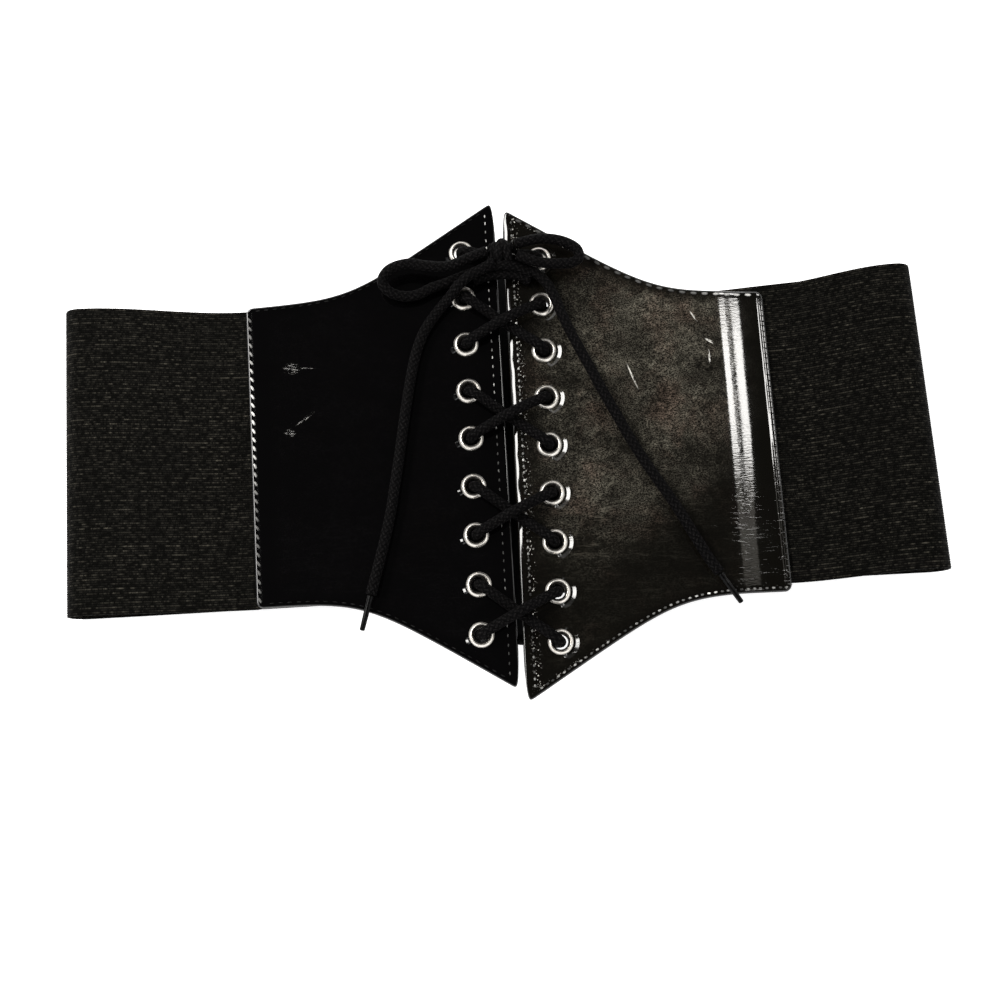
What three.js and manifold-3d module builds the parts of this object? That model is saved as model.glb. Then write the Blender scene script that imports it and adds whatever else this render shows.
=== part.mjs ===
// A wide corset belt, lying on its back with its laced front up.
// Two patent leather panels meet at the front, where a round lace crosses between their eyelets.
// A broad ribbed elastic is sewn under the outer edge of each panel, folds round to the back
// and ends in a plain closure strip at the centre back.
// Millimetres. +X is towards the picture's right, +Y towards the belt's upper edge, +Z up.
import * as THREE from 'three';
import { mergeVertices } from 'three/addons/utils/BufferGeometryUtils.js';
import Module from 'manifold-3d';

const wasm = await Module();
wasm.setup();

// Leather panels
const panelWidth = 104.3;
const panelFrontHalf = 101;        // half height at the front edges, before the tips are rounded
const panelThickness = 2.0;
const panelOuterHalf = 62;         // half height at the outer edge
const panelEdgeRound = 0.5;
const slantReach = 0.59;           // share of the panel's width where the slanted edge would end
const slantSoftness = 0.14;        // how softly that slant runs into the level outer stretch
const frontHeight = 20;            // height of the panels' underside at the front edges
const outerDrop = 4.5;             // how much lower the underside is at the outer edges
const shoulderPower = 5;           // how late the panels bend down towards their outer edges
const tipReach = 3.6;              // how far in from the front edge the tips are rounded
const tipDrop = 15;                // how far down the front edge the rounding starts
const panelSteps = 18;
const drillSpare = 2;              // how far the drill for an eyelet's hole stands out on both sides

// Elastic bands
const wingLength = 71.5;           // from a panel's outer edge to the fold
const elasticThickness = 1.6;
const seamOverlap = 14;            // how far the elastic runs in under a panel
const foldRadius = 7;              // outer radius of the fold at each side
const seamGap = 0.3;
const gatherHalf = 61.8;           // half height of the elastic where it is gathered at a seam
const elasticHalf = 64;            // half height of the elastic at its folds

// Back closure strip
const closureWidth = 40;
const closureHalf = 77;            // past the elastics, as far as the gap between the panels shows it
const closureShift = -1.85;        // how much lower its middle lies than the seams'
const closureWall = 1.2;
const slotDepth = 16;
const slotClearance = 0.3;
const slotRamp = 14;               // stretch over which the elastic lifts from the floor into its slot
const bandSteps = { seam: 4, wing: 8, fold: 8, back: 6, ramp: 4 };

// Eyelets
const eyeletRows = 9;
const eyeletEnd = 22.8;            // from the front edge's ends to the outermost eyelets
const eyeletPitch = (panelFrontHalf - eyeletEnd) * 2 / (eyeletRows - 1);
const eyeletBore = 2.85;           // radius of the hole that the lace runs through
const eyeletWall = 0.4;
const rimRadius = 5;
const rimRise = 1.2;
const washerRadius = 4.5;
const washerThickness = 0.6;
const rimGap = 0.25;
const holeGap = 0.3;
const eyeletSides = 12;

// Lace
const laceDiameter = 4.2;
const laceSides = 8;
const laceGap = 0.35;
const turnRadius = 3.4;            // how tightly the lace turns over an eyelet's rim
const turnStart = 0.25;            // share of the rim's rise at which that turn starts
const crossingStart = 0.34;        // share of a front strand's run where it has come up to cross
const crossingClimb = 0.75;        // share of its climb that it has made there
const routeSteps = 2;              // sections for each point of a free stretch
const agletRadius = 1.2;
const agletLength = 14;
const agletTaper = 0.85;
const knotSize = { x: 11, y: 10.4, z: 8.6 };
const knotRise = 1.2;              // height of the knot's underside over the leather
const knotShift = { x: 0.5, y: -1.2 };  // from the middle between the first two eyelets

// How each side differs, and how it lies. What ends in More is added to the size that it names.
// A lean is in degrees, and tips a vertical edge's top towards -X.
const sides = {
  left: {
    sign: -1, frontX: -2.2, widthMore: -1.6, frontHalfMore: -0.5, wingMore: 6.2, eyeletInset: 14.1,
    frontY: 2.3, outerY: 1.2, seamY: 0.8, foldY: 4.4,
    frontLean: 0.12, outerLean: 1.26, foldLean: 1.0,
  },
  right: {
    sign: 1, frontX: 0.25, widthMore: 1.6, frontHalfMore: 0.4, wingMore: -6.1, eyeletInset: 14.45,
    frontY: -2.0, outerY: -3.0, seamY: 0.3, foldY: 5.5,
    frontLean: -0.25, outerLean: 0.37, foldLean: 1.2,
  },
};

for (const side of Object.values(sides)) {
  side.panelWidth = panelWidth + side.widthMore;
  side.frontHalf = panelFrontHalf + side.frontHalfMore;
  side.wing = wingLength + side.wingMore;
}

// The rounded tips: share of tipReach in from the front edge, and share of tipDrop below the slant.
const tipOutline = [
  { inset: 0, drop: 1 },
  { inset: 0.1, drop: 0.5 },
  { inset: 0.21, drop: 0.213 },
  { inset: 0.36, drop: 0.073 },
  { inset: 0.61, drop: 0.017 },
  { inset: 1, drop: 0 },
];

// The crown of an eyelet's rim: share of the way in from its radius to the bore, and share of its rise.
const rimCrown = [
  { inwards: 0, rise: 0 },
  { inwards: 0.2, rise: 0.75 },
  { inwards: 0.55, rise: 1 },
  { inwards: 1, rise: 0.6 },
];

// The knot's lumps, in shares of its size. The middle one is the strand that wraps the others.
const knotLumps = [
  { width: 0.6, depth: 1, height: 1, shift: 0 },
  { width: 0.62, depth: 0.8, height: 0.86, shift: -0.19 },
  { width: 0.62, depth: 0.8, height: 0.86, shift: 0.19 },
];

// Free stretches of the lace, point by point: x, y, and height of its underside over the leather.
const tailRoutes = {
  left: [
    [-3.7, 72.5, 6.2], [-8.0, 70.0, 6.6], [-13.6, 67.3, 6.4], [-18.4, 64.0, 4.4], [-22.4, 59.8, 2.2],
    [-27.4, 54.6, 0.8], [-33.0, 46.8, 0.4], [-36.8, 37.4, 0.3], [-39.0, 28.4, 0.3], [-41.2, 17.2, 0.3],
    [-43.2, 6.2, 0.3], [-45.1, -5.2, 0.3], [-47.0, -15.4, 0.3], [-49.0, -26.0, 0.3], [-51.6, -36.6, 0.3],
    [-54.2, -45.8, 0.3], [-56.2, -52.6, 0.3], [-57.9, -58.4, 0.3],
  ],
  right: [
    [3.8, 72.0, 2.9], [8.2, 70.8, 1.9], [12.9, 68.8, 1.6], [17.0, 64.6, 1.7], [19.9, 58.8, 1.8],
    [22.4, 51.8, 1.3], [25.7, 43.6, 0.6], [31.3, 31.3, 0.3], [37.0, 18.6, 0.3], [42.8, 6.4, 0.3],
    [48.0, -4.4, 0.3], [53.2, -13.8, 0.3], [58.6, -22.8, 0.3], [64.2, -32.6, 0.3], [69.6, -43.0, 0.3],
    [74.0, -51.2, 0.3], [77.6, -56.8, 0.3],
  ],
};
const loopRoutes = {
  left: [
    [-5.6, 72.9, 1.9], [-11.6, 70.6, 1.4], [-16.8, 68.9, 1.2], [-22.3, 67.0, 1.0], [-29.6, 64.8, 0.8],
    [-35.0, 62.4, 0.8], [-40.8, 61.9, 1.2], [-46.4, 63.8, 2.4], [-49.0, 67.6, 3.6], [-46.4, 71.9, 4.6],
    [-38.6, 74.1, 5.4], [-30.6, 72.6, 5.7], [-22.4, 71.9, 5.8], [-14.2, 74.4, 6.4], [-6.2, 77.2, 6.6],
  ],
  right: [
    [5.4, 79.8, 6.2], [10.2, 80.8, 6.0], [14.9, 81.7, 5.4], [20.5, 81.6, 4.8], [26.5, 79.8, 4.4],
    [30.4, 77.0, 3.9], [31.0, 73.6, 3.7], [28.2, 71.5, 4.0], [23.4, 71.0, 4.8], [15.6, 71.4, 5.8],
    [10.8, 72.8, 6.4], [6.0, 75.0, 6.3],
  ],
};
const agletDrop = 0.9;             // how much lower the tip of each lace end lies

const patent = new THREE.MeshStandardMaterial({ color: 0x070707, roughness: 0.12, metalness: 0 });
const webbing = new THREE.MeshStandardMaterial({ color: 0x15160f, roughness: 0.9, metalness: 0 });
const braid = new THREE.MeshStandardMaterial({ color: 0x0b0b0b, roughness: 0.85, metalness: 0 });
const nickel = new THREE.MeshStandardMaterial({ color: 0xcfcbc4, roughness: 0.22, metalness: 1 });
const lacquer = new THREE.MeshStandardMaterial({ color: 0x050505, roughness: 0.35, metalness: 0 });

const laceRadius = laceDiameter / 2;
// Levels of the lace's middle over a panel's underside, where it leaves an eyelet in front and behind.
const frontLevel = panelThickness + rimGap + rimRise * turnStart + turnRadius;
const backLevel = -rimGap - turnRadius;
const tangent = (degrees) => Math.tan(THREE.MathUtils.degToRad(degrees));
const blend = (from, to, share) => from + (to - from) * share;
const ease = (share) => THREE.MathUtils.smoothstep(share, 0, 1);

// Joins rings of points with equal counts into one closed body with flat ends.
function loft(rings) {
  const count = rings[0].length;
  const positions = rings.flat().flatMap((point) => [point.x, point.y, point.z]);
  const faces = [];
  for (let ring = 0; ring < rings.length - 1; ring += 1) {
    for (let i = 0; i < count; i += 1) {
      const a = ring * count + i;
      const b = ring * count + ((i + 1) % count);
      faces.push(a, b, b + count, a, b + count, a + count);
    }
  }
  const last = (rings.length - 1) * count;
  for (let i = 1; i < count - 1; i += 1) {
    faces.push(0, i + 1, i);
    faces.push(last, last + i, last + i + 1);
  }
  const geometry = new THREE.BufferGeometry();
  geometry.setAttribute('position', new THREE.Float32BufferAttribute(positions, 3));
  geometry.setIndex(faces);
  return geometry;
}

// Makes a closed body's faces point outwards, also where it was made mirrored.
function turnedOut(geometry) {
  const index = geometry.getIndex();
  const place = geometry.getAttribute('position');
  const corners = [new THREE.Vector3(), new THREE.Vector3(), new THREE.Vector3()];
  let volume = 0;
  for (let i = 0; i < index.count; i += 3) {
    corners.forEach((corner, j) => corner.fromBufferAttribute(place, index.getX(i + j)));
    volume += corners[0].dot(corners[1].clone().cross(corners[2]));
  }
  if (volume < 0) {
    for (let i = 0; i < index.count; i += 3) {
      const first = index.getX(i);
      index.setX(i, index.getX(i + 1));
      index.setX(i + 1, first);
    }
  }
  return geometry;
}

function toSolid(geometry) {
  const bare = geometry.clone();
  bare.deleteAttribute('normal');
  bare.deleteAttribute('uv');
  const merged = mergeVertices(bare, 1e-4);
  return new wasm.Manifold(new wasm.Mesh({
    numProp: 3,
    vertProperties: new Float32Array(merged.getAttribute('position').array),
    triVerts: new Uint32Array(merged.getIndex().array),
  }));
}

function toGeometry(solid) {
  const mesh = solid.getMesh();
  const geometry = new THREE.BufferGeometry();
  geometry.setAttribute('position', new THREE.Float32BufferAttribute(mesh.vertProperties, 3));
  geometry.setIndex(Array.from(mesh.triVerts));
  return geometry;
}

function named(name, geometry, material) {
  geometry.computeVertexNormals();
  const mesh = new THREE.Mesh(geometry, material);
  mesh.name = name;
  return mesh;
}

// Where the front layer lies

// Height of the leather's underside, and its slope, at a distance from the front edge.
function underside(side, distance) {
  const share = THREE.MathUtils.clamp(distance / side.panelWidth, 0, 1);
  const height = frontHeight - outerDrop * share ** shoulderPower;
  const fall = outerDrop * shoulderPower * share ** (shoulderPower - 1) / side.panelWidth;
  return { height, fall };
}

// A point of a panel: distance from its front edge, height from its middle, level over its underside.
function panelPoint(side, distance, height, level) {
  const share = distance / side.panelWidth;
  const lie = underside(side, distance);
  const length = Math.hypot(1, lie.fall);
  const lean = tangent(blend(side.frontLean, side.outerLean, share));
  return new THREE.Vector3(
    side.frontX + side.sign * (distance + level * lie.fall / length) - height * lean,
    blend(side.frontY, side.outerY, share) + height,
    lie.height + level / length,
  );
}

// Half height of a panel's outline at a distance from its front edge.
function outlineHalf(side, distance) {
  const reach = slantReach * side.panelWidth;
  const slant = Math.log(1 + Math.exp((1 - distance / reach) / slantSoftness)) * slantSoftness;
  const half = blend(panelOuterHalf, side.frontHalf, slant);
  const inset = distance / tipReach;
  const next = tipOutline.findIndex((row) => row.inset > inset);
  if (next < 0) {
    return half;
  }
  const before = tipOutline[next - 1];
  const after = tipOutline[next];
  const share = (inset - before.inset) / (after.inset - before.inset);
  return half - tipDrop * blend(before.drop, after.drop, share);
}

// Height of the leather's upper face under a point of the lace.
function leatherTop(x) {
  const side = x < (sides.left.frontX + sides.right.frontX) / 2 ? sides.left : sides.right;
  return underside(side, (x - side.frontX) * side.sign).height + panelThickness;
}

function eyeletPlace(side, row) {
  return { distance: side.eyeletInset, height: ((eyeletRows - 1) / 2 - row) * eyeletPitch };
}

// Panels

function panel(side) {
  const distances = tipOutline.map((row) => row.inset * tipReach);
  for (let i = 1; i <= panelSteps; i += 1) {
    distances.push(blend(tipReach, side.panelWidth, i / panelSteps));
  }
  const rings = distances.map((distance) => {
    const half = outlineHalf(side, distance);
    const inner = half - panelEdgeRound;
    const upper = panelThickness - panelEdgeRound;
    const section = [
      [-inner, 0], [inner, 0], [half, panelEdgeRound], [half, upper],
      [inner, panelThickness], [-inner, panelThickness], [-half, upper], [-half, panelEdgeRound],
    ];
    return section.map(([height, level]) => panelPoint(side, distance, height, level));
  });
  let solid = toSolid(turnedOut(loft(rings)));
  const holeRadius = eyeletBore + eyeletWall + holeGap;
  const drillLength = panelThickness + drillSpare * 2;
  for (let row = 0; row < eyeletRows; row += 1) {
    const drill = new THREE.CylinderGeometry(holeRadius, holeRadius, drillLength, eyeletSides);
    drill.rotateX(Math.PI / 2);
    const place = eyeletPlace(side, row);
    const centre = panelPoint(side, place.distance, place.height, panelThickness / 2);
    drill.translate(centre.x, centre.y, centre.z);
    solid = solid.subtract(toSolid(drill));
  }
  return toGeometry(solid);
}

// Eyelets

function eyelet() {
  const top = panelThickness + rimGap;
  const barrel = eyeletBore + eyeletWall;
  const profile = [
    [eyeletBore, -rimGap - washerThickness],
    [washerRadius, -rimGap - washerThickness],
    [washerRadius, -rimGap],
    [barrel, -rimGap],
    [barrel, top],
    ...rimCrown.map((row) => [blend(rimRadius, eyeletBore, row.inwards), top + rimRise * row.rise]),
    [eyeletBore, -rimGap - washerThickness],
  ];
  const points = profile.map(([radius, level]) => new THREE.Vector2(radius, level));
  const ring = new THREE.LatheGeometry(points, eyeletSides);
  ring.rotateX(Math.PI / 2);
  return ring;
}

// Elastic bands

// The outer face of a band in the XZ plane, from under the panel to its end in the closure strip.
function bandPath(side, closureX) {
  const outerX = side.frontX + side.sign * side.panelWidth;
  const foldX = outerX + side.sign * side.wing;
  const points = [];
  const add = (x, z, stretch, share) => points.push({ x, z, stretch, share });
  for (let i = 0; i <= bandSteps.seam; i += 1) {
    const distance = side.panelWidth - seamOverlap * (1 - i / bandSteps.seam);
    add(side.frontX + side.sign * distance, underside(side, distance).height - seamGap, 'seam', 0);
  }
  const edgeHeight = underside(side, side.panelWidth).height - seamGap;
  const run = side.wing - foldRadius;
  for (let i = 1; i <= bandSteps.wing; i += 1) {
    const share = i / bandSteps.wing;
    const height = blend(edgeHeight, foldRadius * 2, Math.sin(share * Math.PI / 2));
    add(outerX + side.sign * run * share, height, 'wing', share);
  }
  const floorStart = foldX - side.sign * foldRadius;
  for (let i = 1; i <= bandSteps.fold; i += 1) {
    const angle = Math.PI * (0.5 - i / bandSteps.fold);
    const x = floorStart + side.sign * foldRadius * Math.cos(angle);
    add(x, foldRadius * (1 + Math.sin(angle)), 'fold', 0);
  }
  const mouthX = closureX + side.sign * closureWidth / 2;
  const landX = mouthX + side.sign * slotRamp;
  const slotLevel = closureWall + slotClearance;
  for (let i = 1; i <= bandSteps.back; i += 1) {
    const share = i / bandSteps.back;
    add(blend(floorStart, landX, share), 0, 'back', share);
  }
  for (let i = 1; i <= bandSteps.ramp; i += 1) {
    const share = i / bandSteps.ramp;
    add(blend(landX, mouthX, share), slotLevel * ease(share), 'closure', 0);
  }
  add(mouthX - side.sign * (slotDepth - slotClearance * 2), slotLevel, 'closure', 0);
  return points;
}

// Middle, half height and lean of a band along its path.
function bandLie(side, point) {
  if (point.stretch === 'seam') {
    return { middle: side.seamY, half: gatherHalf, lean: side.outerLean };
  }
  if (point.stretch === 'wing') {
    const share = ease(point.share);
    return {
      middle: blend(side.seamY, side.foldY, share),
      half: blend(gatherHalf, elasticHalf, share),
      lean: blend(side.outerLean, side.foldLean, share),
    };
  }
  if (point.stretch === 'fold') {
    return { middle: side.foldY, half: elasticHalf, lean: side.foldLean };
  }
  const share = point.stretch === 'back' ? ease(point.share) : 1;
  return {
    middle: blend(side.foldY, closureY, share),
    half: blend(elasticHalf, gatherHalf, share),
    lean: blend(side.foldLean, 0, share),
  };
}

function band(side, closureX) {
  const path = bandPath(side, closureX);
  const rings = path.map((point, i) => {
    const before = path[Math.max(i - 1, 0)];
    const after = path[Math.min(i + 1, path.length - 1)];
    const along = new THREE.Vector2(after.x - before.x, after.z - before.z).normalize();
    const inward = new THREE.Vector2(along.y, -along.x).multiplyScalar(elasticThickness * side.sign);
    const lie = bandLie(side, point);
    const slope = tangent(lie.lean);
    return [[-1, 0], [-1, 1], [1, 1], [1, 0]].map(([end, depth]) => new THREE.Vector3(
      point.x + inward.x * depth - end * lie.half * slope,
      lie.middle + end * lie.half,
      point.z + inward.y * depth,
    ));
  });
  return turnedOut(loft(rings));
}

// Back closure: one strip with a slot along each side for the end of an elastic.
function closure(closureX) {
  const half = closureWidth / 2;
  const web = half - slotDepth;
  const low = closureWall;
  const high = low + elasticThickness + slotClearance * 2;
  const top = high + closureWall;
  const outline = [
    [-half, 0], [half, 0], [half, low], [web, low], [web, high], [half, high],
    [half, top], [-half, top], [-half, high], [-web, high], [-web, low], [-half, low],
  ];
  const shape = new THREE.Shape(outline.map(([x, z]) => new THREE.Vector2(x, z)));
  const strip = new THREE.ExtrudeGeometry(shape, { depth: closureHalf * 2, bevelEnabled: false, steps: 1 });
  strip.rotateX(Math.PI / 2);
  strip.translate(closureX, closureY + closureShift + closureHalf, 0);
  return strip;
}

// Lace

// A smooth route whose sections fall on its own points.
class LaceRoute extends THREE.CatmullRomCurve3 {
  constructor(points) {
    super(points, false, 'centripetal');
  }

  getUtoTmapping(u) {
    return u;
  }
}

function laceTube(points, stepsPerPoint) {
  const section = new THREE.Shape();
  for (let i = 0; i < laceSides; i += 1) {
    const angle = (i + 0.5) / laceSides * Math.PI * 2;
    const corner = new THREE.Vector2(Math.cos(angle), Math.sin(angle)).multiplyScalar(laceRadius);
    if (i === 0) {
      section.moveTo(corner.x, corner.y);
    } else {
      section.lineTo(corner.x, corner.y);
    }
  }
  section.closePath();
  return new THREE.ExtrudeGeometry(section, {
    steps: (points.length - 1) * stepsPerPoint,
    extrudePath: new LaceRoute(points),
    bevelEnabled: false,
  });
}

// The lace's turn from over the leather down through an eyelet and on behind it, or the other way.
function passThrough(side, row, frontDirection, backDirection) {
  const place = eyeletPlace(side, row);
  const base = panelPoint(side, place.distance, place.height, 0);
  const points = [];
  for (const angle of [90, 45, 0]) {
    const turn = THREE.MathUtils.degToRad(angle);
    const out = turnRadius * (1 - Math.cos(turn));
    const level = frontLevel - turnRadius * (1 - Math.sin(turn));
    points.push(base.clone().addScaledVector(frontDirection, out).add(new THREE.Vector3(0, 0, level)));
  }
  for (const angle of [0, 45, 90]) {
    const turn = THREE.MathUtils.degToRad(angle);
    const out = turnRadius * (1 - Math.cos(turn));
    const level = backLevel + turnRadius * (1 - Math.sin(turn));
    points.push(base.clone().addScaledVector(backDirection, out).add(new THREE.Vector3(0, 0, level)));
  }
  return points;
}

function eyeletBase(stop) {
  const place = eyeletPlace(stop.side, stop.row);
  return panelPoint(stop.side, place.distance, place.height, 0);
}

function direction(from, to) {
  return to.clone().sub(from).setZ(0).normalize();
}

// The lacing, from the knot through every eyelet and back to the knot.
function lacedRoute(knot) {
  const { left, right } = sides;
  const stops = [];
  const down = [left, left, right, right];
  for (let row = 0; row < eyeletRows; row += 1) {
    stops.push({ side: down[row % 4], row });
  }
  const mirrored = stops.map(({ side, row }) => ({ side: side === left ? right : left, row }));
  const all = stops.concat(mirrored.reverse());
  const bases = all.map(eyeletBase);
  const points = [];
  const knotReach = knotSize.x / 2 + laceGap;
  const knotLevel = bases[0].z + frontLevel;
  const knotLeft = new THREE.Vector3(knot.x - knotReach, knot.y, knotLevel);
  const knotRight = new THREE.Vector3(knot.x + knotReach, knot.y, knotLevel);
  points.push(knotLeft);
  for (let i = 0; i < all.length; i += 1) {
    const previous = i === 0 ? knotLeft : bases[i - 1];
    const next = i === all.length - 1 ? knotRight : bases[i + 1];
    const comingInFront = i % 2 === 0;
    const toPrevious = direction(bases[i], previous);
    const toNext = direction(bases[i], next);
    const pass = comingInFront
      ? passThrough(all[i].side, all[i].row, toPrevious, toNext)
      : passThrough(all[i].side, all[i].row, toNext, toPrevious).reverse();
    points.push(...pass);
    if (i === all.length - 1) {
      points.push(knotRight);
    } else if (!comingInFront) {
      // A strand in front rises over the other one where it climbs to the right, or else dips under it.
      const climbing = (next.x - bases[i].x) * (next.y - bases[i].y) > 0;
      const resting = panelThickness + laceRadius + laceGap;
      const level = climbing ? resting + laceDiameter + laceGap : resting;
      const climb = blend(frontLevel, level, crossingClimb);
      for (const [share, height] of [[crossingStart, climb], [0.5, level], [1 - crossingStart, climb]]) {
        points.push(bases[i].clone().lerp(next, share).add(new THREE.Vector3(0, 0, height)));
      }
    }
  }
  return points;
}

function routePoints(route) {
  return route.map(([x, y, lift]) => new THREE.Vector3(x, y, leatherTop(x) + laceRadius + lift));
}

// The knot: a wrapped middle with a lump at each side where the strands come out.
function knotBody(knot) {
  const lumps = knotLumps.map((lump) => {
    const ball = new THREE.SphereGeometry(0.5, 12, 8);
    ball.scale(knotSize.x * lump.width, knotSize.y * lump.depth, knotSize.z * lump.height);
    ball.translate(knot.x + knotSize.x * lump.shift, knot.y, knot.z);
    return toSolid(ball);
  });
  return toGeometry(lumps.reduce((whole, lump) => whole.add(lump)));
}

// The hard tip that carries on from the end of a tail.
function aglet(route) {
  const end = route[route.length - 1];
  const heading = end.clone().sub(route[route.length - 2]).normalize();
  heading.z -= agletDrop / agletLength;
  heading.normalize();
  const tip = new THREE.CylinderGeometry(agletRadius * agletTaper, agletRadius, agletLength, laceSides);
  tip.applyQuaternion(new THREE.Quaternion().setFromUnitVectors(new THREE.Vector3(0, 1, 0), heading));
  const centre = end.clone().addScaledVector(heading, agletLength / 2 + laceGap);
  tip.translate(centre.x, centre.y, centre.z);
  return tip;
}

// The strip lies where both bands come out equally long.
function bandEnd(side) {
  return side.frontX + side.sign * side.panelWidth + side.sign * side.wing * 2;
}
const closureX = (bandEnd(sides.left) + bandEnd(sides.right)) / 2;
const closureY = (sides.left.seamY + sides.right.seamY) / 2;

const belt = new THREE.Group();

for (const [name, side] of Object.entries(sides)) {
  belt.add(named(`panel_${name}`, panel(side), patent));
  belt.add(named(`elastic_${name}`, band(side, closureX), webbing));
  for (let row = 0; row < eyeletRows; row += 1) {
    const ring = named(`eyelet_${name}_${row + 1}`, eyelet(), nickel);
    const place = eyeletPlace(side, row);
    ring.position.copy(panelPoint(side, place.distance, place.height, 0));
    belt.add(ring);
  }
}
belt.add(named('back_closure', closure(closureX), patent));

// The origin is on the surface that the belt lies on, under the middle of its outline.
const outline = new THREE.Box3().setFromObject(belt);
const middle = outline.getCenter(new THREE.Vector3());
belt.position.set(-middle.x, -middle.y, -outline.min.z);

const firstRow = ['left', 'right'].map((name) => eyeletBase({ side: sides[name], row: 0 }));
const knot = firstRow[0].clone().lerp(firstRow[1], 0.5);
knot.x += knotShift.x;
knot.y += knotShift.y;
knot.z = leatherTop(knot.x) + knotRise + knotSize.z / 2;
belt.add(named('lace_crossed', laceTube(lacedRoute(knot), 1), braid));
belt.add(named('lace_knot', knotBody(knot), braid));
for (const name of ['left', 'right']) {
  const tail = routePoints(tailRoutes[name]);
  belt.add(named(`lace_tail_${name}`, laceTube(tail, routeSteps), braid));
  belt.add(named(`lace_loop_${name}`, laceTube(routePoints(loopRoutes[name]), routeSteps), braid));
  belt.add(named(`aglet_${name}`, aglet(tail), lacquer));
}

const wholeBelt = new THREE.Group();
wholeBelt.add(belt);
export default wholeBelt;
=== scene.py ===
import math
import random

import bpy
from mathutils import Matrix, Vector, noise


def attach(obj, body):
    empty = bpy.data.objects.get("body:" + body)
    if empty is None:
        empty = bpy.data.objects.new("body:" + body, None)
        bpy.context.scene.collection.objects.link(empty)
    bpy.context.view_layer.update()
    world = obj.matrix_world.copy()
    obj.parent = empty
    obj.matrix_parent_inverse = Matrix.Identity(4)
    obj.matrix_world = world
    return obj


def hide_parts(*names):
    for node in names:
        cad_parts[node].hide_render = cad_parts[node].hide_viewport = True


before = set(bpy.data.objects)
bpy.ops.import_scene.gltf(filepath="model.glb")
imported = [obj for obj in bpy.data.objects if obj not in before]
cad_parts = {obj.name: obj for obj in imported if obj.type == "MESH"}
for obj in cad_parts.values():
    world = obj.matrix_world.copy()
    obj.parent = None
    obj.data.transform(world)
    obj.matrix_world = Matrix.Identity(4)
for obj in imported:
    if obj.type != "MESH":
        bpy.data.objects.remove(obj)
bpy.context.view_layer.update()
print("the belt's solids are loaded")

mm = 0.001
beltShift = Vector((5.4133, 0.3274, 0.0))  # from the belt's own measures to the frame, in mm
draw = random.Random(11)
weldReach = 1e-6  # points nearer than this are one, in m

# Camera: the photograph is taken from nearly straight above, with the belt turned a little

view = {
    "aim": (-0.66, -21.75, 15.0),  # what it points at, in mm
    "distance": 500.0,
    "tilt": 11.0,  # degrees from straight above
    "roll": -3.01, "lens": 45.0, "sensor": 36.0,
    "near": 0.01,  # nothing nearer than this is drawn, in m
}


def setCamera():
    bpy.ops.object.camera_add()
    camera = bpy.context.object
    camera.name = "camera"
    camera.data.lens = view["lens"]
    camera.data.sensor_width = view["sensor"]
    camera.data.clip_start = view["near"]
    turn = Matrix.Rotation(math.radians(view["tilt"]), 4, "X")
    turn = turn @ Matrix.Rotation(math.radians(view["roll"]), 4, "Z")
    back = turn @ Vector((0, 0, view["distance"], 0))
    camera.matrix_world = Matrix.Translation((Vector(view["aim"]) + back.to_3d()) * mm) @ turn
    bpy.context.scene.camera = camera


setCamera()
print("camera set")

# How the belt lies, in mm, as its solids do

leather = {
    "width": 104.3, "frontHalf": 101.0, "outerHalf": 62.0, "thickness": 2.0, "slantReach": 0.59,
    "slantSoftness": 0.14, "frontHeight": 20.0, "outerDrop": 4.5, "shoulderPower": 5,
    "tipReach": 3.6, "tipDrop": 15.0, "tipFalloff": 7.0,
    "cornerRound": 3.0,  # radius of the outer corners
}
# Each half of the belt. Its rolls say how far the leather sinks towards an edge, and over which distance
sides = {
    "left": {
        "sign": -1, "frontX": -2.2, "width": leather["width"] - 1.6,
        "frontHalf": leather["frontHalf"] - 0.5, "wing": 77.7, "eyeletInset": 14.1,
        "frontY": 2.3, "outerY": 1.2, "seamY": 0.8, "foldY": 4.4,
        "frontLean": 0.12, "outerLean": 1.26, "foldLean": 1.0,
        "rolls": {"front": (0.05, 1.5), "outer": (0.06, 1.2)},
    },
    "right": {
        "sign": 1, "frontX": 0.25, "width": leather["width"] + 1.6,
        "frontHalf": leather["frontHalf"] + 0.4, "wing": 65.4, "eyeletInset": 14.45,
        "frontY": -2.0, "outerY": -3.0, "seamY": 0.3, "foldY": 5.5,
        "frontLean": -0.25, "outerLean": 0.37, "foldLean": 1.2,
        "rolls": {"slanted": (0.08, 1.4)},
    },
}
shoulder = {  # where the right panel steps down over the end of its elastic
    "centre": (89.6, 90.4),  # distance from the front edge low on the panel and high on it
    "slope": (8.6, 10.2),  # degrees
    "widths": (4.5, 5.8),  # before its middle and past it
    "low": -45.0, "high": 5.0,
}
eyelets = {
    "rows": 9, "pitch": 19.55, "bore": 2.85, "wall": 0.4, "holeGap": 0.3, "rim": 5.0,
    "rise": 1.2, "gap": 0.25, "washer": 4.5, "washerThickness": 0.6,
    "underRim": (0.12, 0.05),  # the rim's lower side: how far inside its edge, and how far down
    "turns": 40,  # steps of the turned ring
    "crown": [  # the rim's outline: share of the way in to the bore, and share of its rise
        (1.0, -1.2), (0.99, -0.6), (0.95, -0.2), (0.86, 0.25), (0.76, 0.6), (0.66, 0.84), (0.58, 0.96),
        (0.5, 1.0), (0.42, 0.96), (0.34, 0.86), (0.24, 0.69), (0.14, 0.5), (0.05, 0.3), (0.0, 0.12),
    ],
}
lace = {
    "diameter": 4.2, "gap": 0.35, "turn": 3.4, "turnStart": 0.25, "lie": 0.3, "crossingStart": 0.34,
    "crossingClimb": 0.75,
    "around": 16,  # corners of its section
    "step": 0.9,  # longest stretch between two sections
}


def blend(a, b, share):
    return a + (b - a) * share


def direction(degrees):
    return math.cos(math.radians(degrees)), math.sin(math.radians(degrees))


def ease(share):
    share = min(max(share, 0.0), 1.0)
    return share * share * (3 - 2 * share)


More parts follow.
